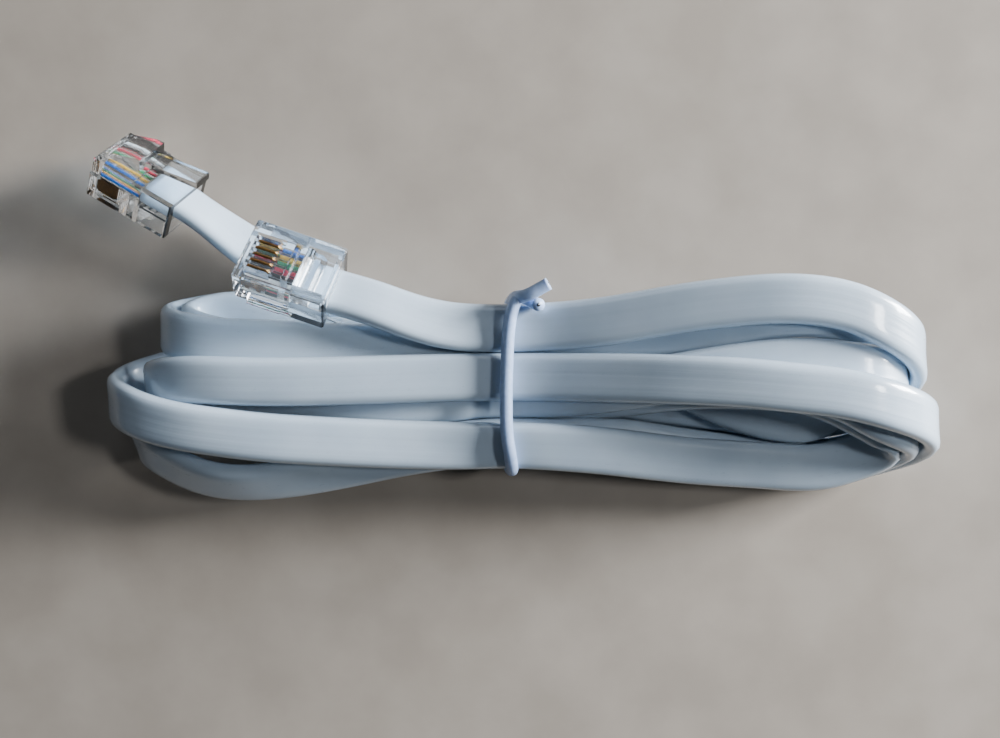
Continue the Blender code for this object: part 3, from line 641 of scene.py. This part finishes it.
TURNS = {
    # right of the tie: two nests of three
    "east_north_outer": Turn(
        "top_north", "low_south", 57.3,
        ((12.5, -1.9, 12.9), (25.9, 0.2, 15.4), (38.0, 1.1, 16.9), (46.0, 0.0, 16.6)),
        (
            (9.0, -17.0, 2.8), (18.0, -15.8, 1.6), (28.0, -14.8, 1.3),
            (38.0, -15.3, 1.25), (47.0, -15.4, 1.25),
        ),
    ),
    "east_north_middle": Turn(
        "third_middle", "low_middle", 55.2,
        (
            (9.0, -11.7, 9.7), (15.0, -10.9, 11.3), (22.0, -9.8, 13.2), (30.0, -8.3, 14.4, -4.0),
            (38.0, -7.4, 14.9, -8.0), (46.5, -7.9, 14.6, -4.0),
        ),
        (
            (9.0, -10.6, 3.5), (18.0, -12.0, 3.7), (28.0, -13.7, 3.8),
            (38.0, -15.0, 3.75), (46.0, -15.3, 3.75),
        ),
    ),
    "east_north_inner": Turn(
        "third_north", "low_north", 51.0,
        (
            (9.0, -3.0, 8.9), (15.0, -3.6, 9.5), (22.0, -3.5, 10.9), (29.0, -2.4, 12.6),
            (35.0, -1.2, 13.7), (42.0, -0.8, 14.1),
        ),
        (
            (9.0, -3.8, 2.9), (16.0, -5.2, 3.6), (22.0, -8.4, 5.9), (28.0, -12.0, 6.2),
            (38.0, -15.5, 6.25), (44.0, -15.8, 6.25),
        ),
        lean=1.6,
    ),
    "east_south_outer": Turn(
        "top_middle", "second_south", 59.7,
        (
            (12.5, -9.6, 13.1), (22.0, -9.8, 15.6, 6.0), (31.0, -10.2, 17.0, 10.0),
            (38.0, -10.9, 17.3, 6.0), (45.0, -11.7, 16.9, -4.0),
        ),
        (
            (13.0, -20.1, 4.8), (20.0, -20.9, 3.6), (27.0, -21.7, 2.2),
            (38.0, -22.4, 1.25), (48.0, -22.4, 1.25),
        ),
    ),
    "east_south_middle": Turn(
        "second_middle", "third_south", 57.0,
        (
            (9.0, -12.2, 7.2), (15.0, -12.0, 8.8), (22.0, -10.9, 10.7), (31.0, -10.6, 11.9),
            (41.0, -11.1, 13.0, -4.0), (47.2, -12.1, 13.4, -5.0),
        ),
        (
            (13.0, -18.4, 7.2), (20.0, -19.5, 6.0), (27.0, -20.6, 4.8),
            (38.0, -21.8, 3.75), (47.0, -21.9, 3.75),
        ),
        lean=0.9,
    ),
    "east_south_inner": Turn(
        "second_north", "top_south", 54.3,
        (
            (9.0, -6.0, 5.9), (15.0, -7.6, 6.5), (22.0, -9.5, 8.2), (31.0, -10.4, 9.4),
            (40.0, -11.1, 10.5, -3.0), (45.4, -12.5, 10.9, -5.0),
        ),
        (
            (13.0, -19.9, 9.6, 8.0), (20.0, -20.8, 8.7, 8.0), (27.0, -21.6, 7.7, 8.0),
            (38.0, -22.3, 6.6, 6.0), (45.0, -22.4, 6.4),
        ),
        lean=0.8,
    ),
    # left of the tie: a nest of two, one by itself, and two that lean over each other
    "west_north_outer": Turn(
        "third_north", "low_middle", -49.2,
        ((-10.0, -4.2, 8.9), (-20.0, -5.4, 10.2), (-32.0, -5.0, 11.5), (-41.2, -4.7, 11.8)),
        (
            (-10.0, -10.1, 2.8), (-20.0, -8.0, 1.7), (-26.0, -5.2, 1.3),
            (-32.0, -2.2, 1.25), (-41.5, -0.2, 1.25),
        ),
    ),
    "west_north_inner": Turn(
        "second_north", "second_middle", -46.5,
        ((-10.0, -5.3, 6.4), (-20.0, -4.6, 7.7), (-32.0, -4.7, 9.0), (-40.2, -4.7, 9.3)),
        (
            (-10.0, -11.9, 5.1), (-20.0, -8.8, 4.0), (-26.0, -5.4, 3.8),
            (-32.0, -2.3, 3.75), (-40.5, -0.2, 3.75),
        ),
    ),
    "west_middle": Turn(
        "top_middle", "third_middle", -51.0,
        ((-10.0, -9.6, 11.5), (-20.0, -9.9, 12.3), (-32.0, -10.1, 13.1, 4.0), (-43.0, -9.9, 13.2, 8.0)),
        (
            (-10.0, -12.8, 9.2), (-20.0, -12.9, 9.1), (-26.0, -12.6, 8.5), (-32.0, -12.1, 7.0),
            (-37.0, -11.9, 5.2), (-43.5, -12.0, 3.9),
        ),
    ),
    "west_south_outer": Turn(
        "top_south", "second_south", -56.3,
        (
            (-8.0, -19.1, 11.0, 5.0), (-15.3, -18.9, 11.6, -2.0), (-25.0, -18.4, 12.6, -2.0),
            (-35.0, -17.7, 13.4, 2.0), (-43.0, -16.6, 13.6, 8.0), (-48.5, -15.4, 12.9, 6.0),
        ),
        (
            (-8.0, -19.2, 5.6, 4.0), (-14.0, -18.6, 4.9), (-20.0, -17.2, 4.3), (-28.0, -14.4, 3.8),
            (-33.0, -12.3, 3.4), (-38.0, -10.4, 2.0), (-43.0, -9.2, 1.3), (-48.5, -8.6, 1.25),
        ),
    ),
    "west_south_inner": Turn(
        "third_south", "low_south", -54.0,
        (
            (-8.0, -19.1, 8.4, 8.0), (-16.0, -20.6, 8.2, 18.0), (-25.0, -22.8, 8.1, 34.0),
            (-33.0, -24.3, 8.1, 43.0), (-39.0, -24.6, 8.1, 46.0), (-44.0, -23.8, 7.9, 43.0),
            (-48.5, -21.8, 7.2, 36.0),
        ),
        ((-10.0, -17.2, 2.7), (-20.0, -17.4, 1.6), (-32.0, -17.5, 1.25), (-44.5, -16.8, 1.25)),
        lean=0.5,
    ),
}

# The way of the one cord through its turns: which turn comes next, and whether from its top.
WAY = (
    ("east_north_outer", True),
    ("west_south_inner", False),
    ("east_south_middle", False),
    ("west_north_inner", False),
    ("east_south_inner", True),
    ("west_south_outer", True),
    ("east_south_outer", False),
    ("west_middle", True),
    ("east_north_middle", True),
    ("west_north_outer", False),
    ("east_north_inner", True),
)

# The leads, from the middle of each jacket's end in its plug to the tie, with the roll at each.
LEAD_A = (
    (-28.63, 3.79, 13.54, -28.0), (-26.38, 3.00, 13.54, -28.0), (-23.91, 2.17, 13.54, -28.0),
    (-18.9, 0.8, 13.6, -26.0), (-13.2, -1.3, 12.8, -20.0), (-7.7, -2.5, 11.7, -9.0),
)
LEAD_B = (
    (-50.81, 18.07, 6.40, -48.0), (-48.66, 16.80, 6.40, -48.0), (-46.42, 15.48, 6.40, -48.0),
    (-42.3, 12.5, 5.2, -40.0), (-38.2, 9.5, 4.4, -28.0), (-33.7, 6.5, 3.7, -16.0),
    (-28.7, 3.8, 3.0, -7.0), (-21.7, 0.7, 2.6, 0.0), (-13.7, -2.1, 2.8, 0.0), (-7.7, -3.2, 3.3, 0.0),
)


@dataclass
class WoundCord:
    """The flat six-core cord, from one plug's jacket through the hank to the other's."""

    width: float = 6.8 * MM
    thickness: float = 2.4 * MM
    clearance: float = 0.04 * MM
    step: float = 1.5 * MM
    fine_step: float = 0.9 * MM
    edge_steps: int = 6
    rounds: int = 260
    rounds_per_search: int = 10
    stiffness_span: int = 11  # steps over which a push is shared out
    spring_back: float = 0.03
    tie_grip: float = 2.5 * MM
    plug_grip: float = 7 * MM
    nearest_stranger: int = 7  # steps along the cord before a place counts as another strand
    level_share: float = 0.6  # of a step, how far from level two places may lie
    deepest_push: float = 0.8 * MM
    push_gain: float = 1.6
    place_easing: int = 3
    roll_easing: int = 6

    def route(self) -> np.ndarray:
        """The cord's chosen route.

        Returns:
            Place and roll at each step, in metres and radians.
        """
        rows = list(LEAD_A)
        for name, from_top in WAY:
            turn = TURNS[name].rows()
            rows += turn if from_top else list(reversed(turn))
        rows += list(reversed(LEAD_B))
        table = rows_of(rows)
        table[:, :3] *= MM
        table[:, 3] = np.radians(table[:, 3])
        return through(table, self.step)

    def frames(self, places: np.ndarray, roll: np.ndarray) -> tuple[np.ndarray, np.ndarray, np.ndarray]:
        """The directions along, across and through the cord.

        Args:
            places: the centre line.
            roll: the roll at each place.

        Returns:
            Tangents, width directions and thickness directions.
        """
        tangent = unit(np.gradient(places, axis=0))
        wide = unit(NORTH - (tangent @ NORTH)[:, None] * tangent)
        over = np.cross(tangent, wide)
        over *= np.where(tangent[:, :1] < 0, -1.0, 1.0)
        spin = roll[:, None]
        turned = wide * np.cos(spin) + over * np.sin(spin)
        return tangent, turned, over * np.cos(spin) - wide * np.sin(spin)

    def touching(self, places: np.ndarray) -> Pairs:
        """Which places lie near each other without being neighbours along the cord.

        Args:
            places: the centre line.

        Returns:
            The two places' numbers for each pair.
        """
        apart = np.linalg.norm(places[:, None, :] - places[None, :, :], axis=2)
        number = np.arange(len(places))
        skip = np.abs(number[:, None] - number[None, :]) < self.nearest_stranger
        return np.nonzero((apart < self.width + 2 * self.step) & ~skip)

    def gaps(
        self, places: np.ndarray, tangent: np.ndarray, wide: np.ndarray, pairs: Pairs
    ) -> Iterator[tuple[np.ndarray, np.ndarray, np.ndarray]]:
        """The gaps between strands that lie level with each other, from mid-thickness to mid-thickness.

        Args:
            places: the centre line.
            tangent: the direction along the cord at each place.
            wide: the width direction at each place.
            pairs: the two places' numbers for each pair.

        Yields:
            For each edge of the first strand, one entry per level pair: the first place's number,
            how far across its strand the gap starts, and the gap itself.
        """
        half = (self.width - self.thickness) / 2
        one, two = pairs
        facing = np.sign((tangent[one] * tangent[two]).sum(1))
        mean = unit(tangent[one] + facing[:, None] * tangent[two] + LEAST_SUM)
        offset = places[two] - places[one]
        ahead = (offset * mean).sum(1)
        level = np.abs(ahead) < self.level_share * self.step
        i, j = one[level], two[level]
        offset = offset[level] - ahead[level, None] * mean[level]
        wi, wj = wide[i], wide[j]
        for edge in (-half, half):
            on_i = np.full(len(i), edge)
            on_j = np.clip(((on_i[:, None] * wi - offset) * wj).sum(1), -half, half)
            on_i = np.clip(((offset + on_j[:, None] * wj) * wi).sum(1), -half, half)
            yield i, on_i, offset + on_j[:, None] * wj - on_i[:, None] * wi

    def settle(self, places: np.ndarray, roll: np.ndarray) -> tuple[np.ndarray, np.ndarray]:
        """Push strands that overlap apart until they lie on each other and on the floor.

        Args:
            places: the centre line.
            roll: the roll at each place.

        Returns:
            The settled places and rolls.
        """
        half = (self.width - self.thickness) / 2
        reach = self.thickness + self.clearance
        count = len(places)
        length = np.arange(count) * self.step
        # The tie and the plugs hold the cord where it was laid; elsewhere it gives way stiffly.
        held = np.abs(places[:, 0] - WAIST_X * MM) < self.tie_grip
        held |= (length < self.plug_grip) | (length > length[-1] - self.plug_grip)
        free = np.where(held, 0.0, 1.0)
        ease = np.hanning(self.stiffness_span + 2)[1:-1]
        ease /= ease.sum()
        home, flat = places, roll
        for number in range(self.rounds):
            tangent, wide, over = self.frames(places, roll)
            if number % self.rounds_per_search == 0:
                pairs = self.touching(places)
            shift = np.zeros_like(places)
            twist = np.zeros(count)
            hits = np.zeros(count)
            for i, on_i, gap in self.gaps(places, tangent, wide, pairs):
                # Each of the two strands gives way by half of what they overlap.
                distance = np.linalg.norm(gap, axis=1)
                deep = np.clip(reach - distance, 0.0, self.deepest_push)
                push = gap / np.maximum(distance, LEAST_GAP)[:, None] * deep[:, None] * 0.5
                np.add.at(shift, i, -push)
                np.add.at(twist, i, -(push * over[i]).sum(1) * on_i / half ** 2)
                np.add.at(hits, i, deep > 0)
            load = np.maximum(hits, 1.0)
            shift /= load[:, None]
            twist /= load
            sunk = np.clip(half * np.abs(wide[:, 2]) + self.thickness / 2 - places[:, 2], 0.0, None)
            shift[:, 2] += sunk * 0.5
            for column in range(3):
                shift[:, column] = np.convolve(shift[:, column] * free, ease, "same")
            twist = np.convolve(twist * free, ease, "same")
            places = places + shift * free[:, None] * self.push_gain + (home - places) * self.spring_back
            roll = roll + twist * free * 0.5 + (flat - roll) * self.spring_back
        LOG.info("cord settled, deepest overlap left %.2f mm", self.worst(places, roll) / MM)
        return places, roll

    def worst(self, places: np.ndarray, roll: np.ndarray) -> float:
        """How deep the deepest overlap between strands is.

        Args:
            places: the centre line.
            roll: the roll at each place.

        Returns:
            The depth, in metres.
        """
        tangent, wide, _ = self.frames(places, roll)
        worst = 0.0
        for _, _, gap in self.gaps(places, tangent, wide, self.touching(places)):
            deep = self.thickness - np.linalg.norm(gap, axis=1)
            worst = max(worst, float(deep.max(initial=0.0)))
        return worst

    def section(self) -> np.ndarray:
        """The cord's flat section with round edges.

        Returns:
            Its corners, across and up.
        """
        radius = self.thickness / 2
        middle = self.width / 2 - radius
        corners = []
        for side in (1, -1):
            for step in range(self.edge_steps + 1):
                angle = math.radians(-90 + 180 * step / self.edge_steps)
                out = middle + radius * math.cos(angle)
                corners.append((side * out, side * radius * math.sin(angle)))
            # A few corners on the flat side keep its faces from being long and thin.
            corners += [(side * middle * share, side * radius) for share in (0.5, 0.0, -0.5)]
        return np.array(corners)

    def build(self, jacket: Material) -> Obj:
        """Args:
            jacket: the jacket's material.

        Returns:
            The cord's object.
        """
        route = self.route()
        places, roll = self.settle(route[:, :3], route[:, 3])
        places = softened(places, self.place_easing)
        roll = softened(roll[:, None], self.roll_easing)[:, 0]
        fine = through(np.column_stack([places, roll]), self.fine_step)
        places, roll = fine[:, :3], fine[:, 3]
        _, wide, _ = self.frames(places, roll)
        cord = swept("line_cord", places, wide, self.section())
        cord.data.materials.append(jacket)
        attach(cord, "cord")
        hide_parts("cable_hank", "lead_a", "lead_b")
        return cord


# ---- the wire tie ---------------------------------------------------------------------------
@dataclass
class WireTie:
    """The plastic-coated wire that holds the hank: a loop whose ends cross in half a twist."""

    diameter: float = 1.78 * MM
    core_diameter: float = 0.55 * MM
    core_proud: float = 0.04 * MM
    step: float = 0.3 * MM
    easing: int = 3
    sides: int = 20

    def route(self) -> np.ndarray:
        """The centre line, from the cut end that stands up, round the hank, to the long tail.

        Returns:
            Its places, in metres.
        """
        standing_end = (
            (3.98, 0.40, 14.2), (3.80, 0.50, 13.5), (3.35, 0.75, 12.9), (2.7, 1.2, 12.6),
            (2.0, 1.45, 12.8), (1.35, 1.35, 13.3), (0.8, 0.75, 13.55),
        )
        loop = (
            (0.3, -0.6, 13.4), (-0.1, -3.0, 13.25), (-0.35, -8.0, 13.15), (-0.45, -13.0, 13.2),
            (-0.3, -17.6, 13.15), (0.1, -20.2, 12.7), (0.35, -22.0, 11.4), (0.4, -22.65, 9.4),
            (0.2, -22.75, 6.4), (0.0, -22.4, 4.4), (-0.1, -21.6, 2.5), (-0.2, -19.8, 1.4),
            (-0.3, -11.5, 1.2), (-0.3, -3.0, 1.25), (-0.1, 0.2, 2.0), (0.1, 0.95, 4.0), (0.4, 1.25, 8.3),
        )
        long_tail = (
            (0.7, 1.5, 10.6), (1.0, 1.6, 12.2), (1.45, 1.55, 13.6), (2.15, 1.6, 14.5),
            (3.1, 2.0, 14.9), (4.3, 2.65, 15.1), (5.3, 3.2, 15.3),
        )
        return rows_of((*standing_end, *loop, *long_tail)) * MM

    def build(self, sheath: Material, steel: Material) -> list[Obj]:
        """Make the tie's sheath, and the steel wire whose ends show in its cuts.

        Args:
            sheath: the plastic's material.
            steel: the wire's material.

        Returns:
            The two objects.
        """
        places = softened(through(self.route(), self.step), self.easing)
        core = places.copy()
        core[0] += self.core_proud * unit(places[0] - places[1])
        core[-1] += self.core_proud * unit(places[-1] - places[-2])
        pieces = []
        for name, line, width, material, node, slot in (
            ("tie_sheath", places, self.diameter, sheath, "tie_sleeve", "tie_pvc"),
            ("tie_wire", core, self.core_diameter, steel, "tie_core", "tie_steel"),
        ):
            spokes = [2 * math.pi * number / self.sides for number in range(self.sides)]
            ring = np.array([(math.cos(spoke), math.sin(spoke)) for spoke in spokes]) * width / 2
            piece = swept(name, line, self.steady(line, NORTH), ring)
            piece.data.materials.append(material)
            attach(piece, "cord")
            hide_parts(node)
            LOG.info("%s: %d faces", name, len(piece.data.polygons))
            pieces.append(piece)
        return pieces

    @staticmethod
    def steady(places: np.ndarray, start: np.ndarray) -> np.ndarray:
        """Width directions that turn with the route and never spin about it.

        Args:
            places: the centre line.
            start: a direction that the first place's starts from.

        Returns:
            The direction at each place.
        """
        tangent = unit(np.gradient(places, axis=0))
        wide = [start]
        for way in tangent:
            kept = wide[-1] - (wide[-1] @ way) * way
            wide.append(kept / np.linalg.norm(kept))
        return np.array(wide[1:])


# ---- the plugs ---------------------------------------------------------------------------------
@dataclass
class ClearPlug:
    """One six-way plug: its CAD pieces, each with the finish of the real piece."""

    tag: str

    def dress(self, clear: Material, contact: Material, wires: list[Material]) -> None:
        """Give each piece of the plug its material.

        Args:
            clear: the housing's, the latch's and the clamps' material.
            contact: the blades' material.
            wires: the six wires' materials, in order.
        """
        for name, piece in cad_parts.items():
            if not name.startswith(self.tag):
                continue
            material = clear
            if "_contact_" in name:
                material = contact
            elif "_wire_" in name and name[-1].isdigit():  # the wire clamp has no number
                material = wires[int(name[-1]) - 1]
            piece.data.materials.clear()
            piece.data.materials.append(material)
            LOG.info("%s wears %s", name, material.name)


# ---- the studio ----------------------------------------------------------------------------
@dataclass(frozen=True)
class Window:
    """A soft light: its place, what it points at and its size in metres, and its power in watts."""

    name: str
    place: Row
    aim: Row
    size: Row
    watts: float
    colour: str

    def hang(self) -> None:
        """Hang the light in the scene."""
        light = bpy.data.lights.new(self.name, "AREA")
        light.shape = "RECTANGLE"
        light.size, light.size_y = self.size
        light.energy = self.watts
        light.color = linear(self.colour)[:3]
        lamp = bpy.data.objects.new(self.name, light)
        lamp.location = self.place
        lamp.rotation_euler = (Vector(self.aim) - Vector(self.place)).to_track_quat("-Z", "Y").to_euler()
        bpy.context.scene.collection.objects.link(lamp)


@dataclass
class Studio:
    """The floor, the soft window light and the camera straight above."""

    camera_place: Row = (-1.3 * MM, -8.4 * MM, 160.0 * MM)
    lens: float = 38.38  # millimetres, as the sensor's width is
    sensor: float = 36.0
    nearest_seen: float = 5 * MM
    floor_size: float = 1.6
    floor_cells: int = 8
    floor_drop: float = 0.02 * MM
    surround: str = "#C4CCD6"
    surround_strength: float = 0.065
    windows: tuple[Window, ...] = (
        Window("window_right", (0.62, 0.19, 0.132), (0.0, 0.0, 0.01), (0.20, 0.32), 25.0, "#FAFCFF"),
        Window("pane_right", (0.46, 0.03, 0.49), (0.05, 0.0, 0.015), (0.09, 0.08), 1.2, "#FAFCFF"),
        Window("window_back", (-0.10, 0.62, 0.45), (0.0, 0.0, 0.0), (0.5, 0.3), 0.6, "#E2EAF6"),
    )

    def floor(self, card: Material) -> None:
        """Lay the floor.

        Args:
            card: the floor's material.
        """
        mesh = bpy.data.meshes.new("floor_card")
        bm = bmesh.new()
        cells = self.floor_cells
        bmesh.ops.create_grid(bm, x_segments=cells, y_segments=cells, size=self.floor_size / 2)
        bm.to_mesh(mesh)
        bm.free()
        floor = bpy.data.objects.new("floor_card", mesh)
        floor.location.z = -self.floor_drop
        floor.data.materials.append(card)
        bpy.context.scene.collection.objects.link(floor)

    def lights(self) -> None:
        """Hang a low window and a high pane on the right, a weak one behind, and a pale surround."""
        for window in self.windows:
            window.hang()
        world = bpy.data.worlds.new("pale_surround")
        world.use_nodes = True
        surround = {"Color": linear(self.surround), "Strength": self.surround_strength}
        fill(world.node_tree, world.node_tree.nodes["Background"], surround)
        bpy.context.scene.world = world

    def camera(self) -> None:
        """Set the camera straight above the cord."""
        data = bpy.data.cameras.new("camera")
        data.lens = self.lens
        data.sensor_width = self.sensor
        data.clip_start = self.nearest_seen
        camera = bpy.data.objects.new("camera", data)
        camera.location = self.camera_place
        bpy.context.scene.collection.objects.link(camera)
        bpy.context.scene.camera = camera


def main() -> None:
    """Build every piece in order and report each."""
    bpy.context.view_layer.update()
    studio = Studio()
    studio.camera()
    studio.lights()
    studio.floor(MattCard().make())
    WoundCord().build(ExtrudedPvcJacket().make())
    WireTie().build(ExtrudedPvcTie().make(), DrawnSteelWire().make())
    clear = MouldedClearPolycarbonate().make()
    contact = GoldFlashedBronze().make()
    wires = [ExtrudedWireInsulation(colour).make() for colour in WireColour]
    for tag in ("plug_a", "plug_b"):
        ClearPlug(tag).dress(clear, contact, wires)


if __name__ == "__main__":
    main()
